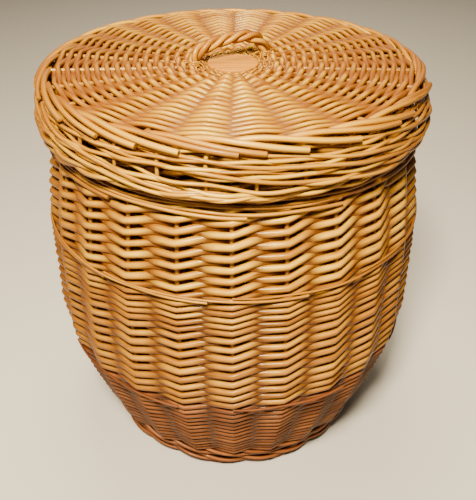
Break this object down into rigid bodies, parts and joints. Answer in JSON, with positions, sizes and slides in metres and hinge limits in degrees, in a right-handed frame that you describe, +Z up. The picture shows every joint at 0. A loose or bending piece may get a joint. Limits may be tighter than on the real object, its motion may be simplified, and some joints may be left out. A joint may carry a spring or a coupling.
{
  "type": "laundry hamper with lid",
  "caption": "Round bellied hamper woven from varnished willow rods, with a woven lift-off lid that has a raised rim, a deep skirt and a small twisted rope handle.",
  "frame": {"origin": "middle of the underside of the foot, on the surface that the hamper stands on", "axes": "+Z up through the middle of the basket, -Y towards the viewer, +X to the viewer's right"},
  "size_m": [0.4892, 0.4883, 0.5462],
  "materials": {
    "buff_willow": "honey-gold peeled willow rods under a glossy clear varnish",
    "dark_willow": "thin reddish-brown willow rods, varnished",
    "stake_willow": "round willow stakes and spokes, varnished",
    "disc_wood": "pale sawn wood with a satin varnish"
  },
  "bodies": {
    "basket": {"base_board": "disc_wood", "base_weave": "buff_willow", "stake_01": "stake_willow", "stake_02": "stake_willow", "stake_03": "stake_willow", "stake_04": "stake_willow", "stake_05": "stake_willow", "stake_06": "stake_willow", "stake_07": "stake_willow", "stake_08": "stake_willow", "stake_09": "stake_willow", "stake_10": "stake_willow", "stake_11": "stake_willow", "stake_12": "stake_willow", "stake_13": "stake_willow", "stake_14": "stake_willow", "stake_15": "stake_willow", "stake_16": "stake_willow", "stake_17": "stake_willow", "stake_18": "stake_willow", "stake_19": "stake_willow", "stake_20": "stake_willow", "stake_21": "stake_willow", "stake_22": "stake_willow", "stake_23": "stake_willow", "stake_24": "stake_willow", "stake_25": "stake_willow", "foot_border": "buff_willow", "fine_wale_band": "dark_willow", "middle_weave_band": "buff_willow", "marker_wale": "buff_willow", "upper_weave_band": "buff_willow", "top_wale": "buff_willow", "neck_weave": "buff_willow", "top_border": "buff_willow"},
    "lid": {"lid_board": "disc_wood", "lid_spokes": "stake_willow", "lid_centre_wale": "buff_willow", "lid_weave": "buff_willow", "rim_border": "buff_willow", "skirt_border": "buff_willow", "handle_strand_1": "buff_willow", "handle_strand_2": "buff_willow", "handle_strand_3": "buff_willow", "handle_lashing_left": "buff_willow", "handle_lashing_right": "buff_willow"}
  },
  "joints": [
    {"name": "lid_lift", "type": "slide", "parent": "basket", "child": "lid", "axis": [0, 0, 1], "range_m": [0, 0.2]}
  ]
}
